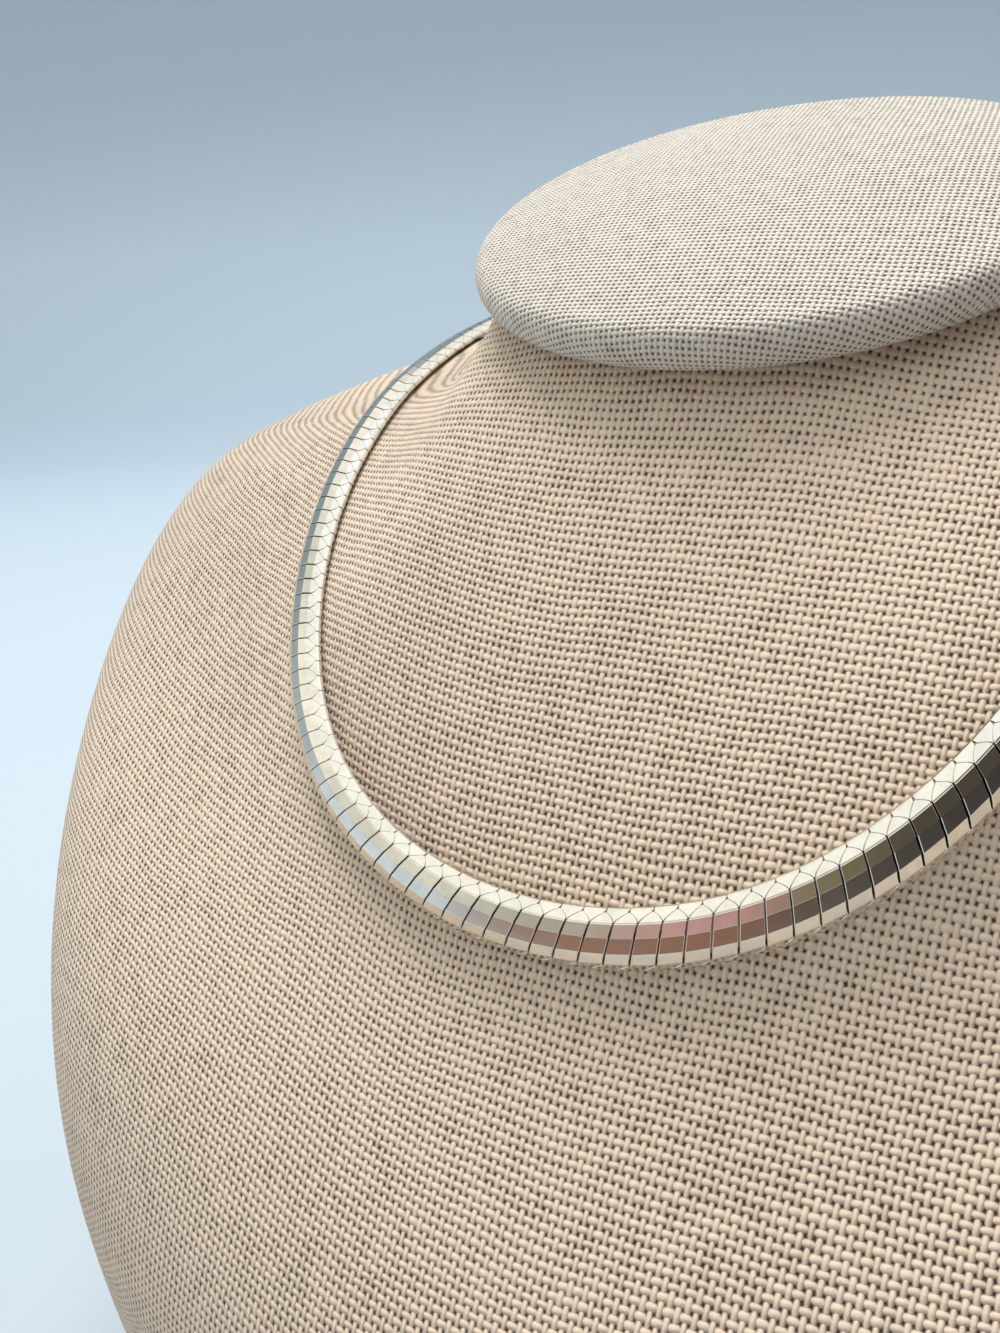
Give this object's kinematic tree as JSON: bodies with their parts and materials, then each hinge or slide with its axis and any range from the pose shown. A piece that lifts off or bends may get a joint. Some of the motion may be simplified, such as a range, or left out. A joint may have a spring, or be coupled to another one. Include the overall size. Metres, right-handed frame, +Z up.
{
  "type": "omega necklace on neck bust",
  "caption": "Collar-style omega necklace of narrow leaning plates over a flat band, lying round a cloth-covered neck bust with a padded neck cap.",
  "frame": {"origin": "on the floor under the middle of the bust's box", "axes": "+Z up, the wearer's front toward -Y, +X toward the wearer's left"},
  "size_m": [0.2096, 0.1733, 0.2046],
  "materials": {
    "body_cloth": "plain coarse weave",
    "cap_cloth": "plain coarse weave",
    "band_metal": "polished",
    "plate_metal": "polished",
    "clasp_metal": "polished"
  },
  "bodies": {
    "root": {"bust_body": "body_cloth", "neck_cap": "cap_cloth", "back_band": "band_metal", "front_plates": "plate_metal", "clasp": "clasp_metal"}
  },
  "joints": []
}
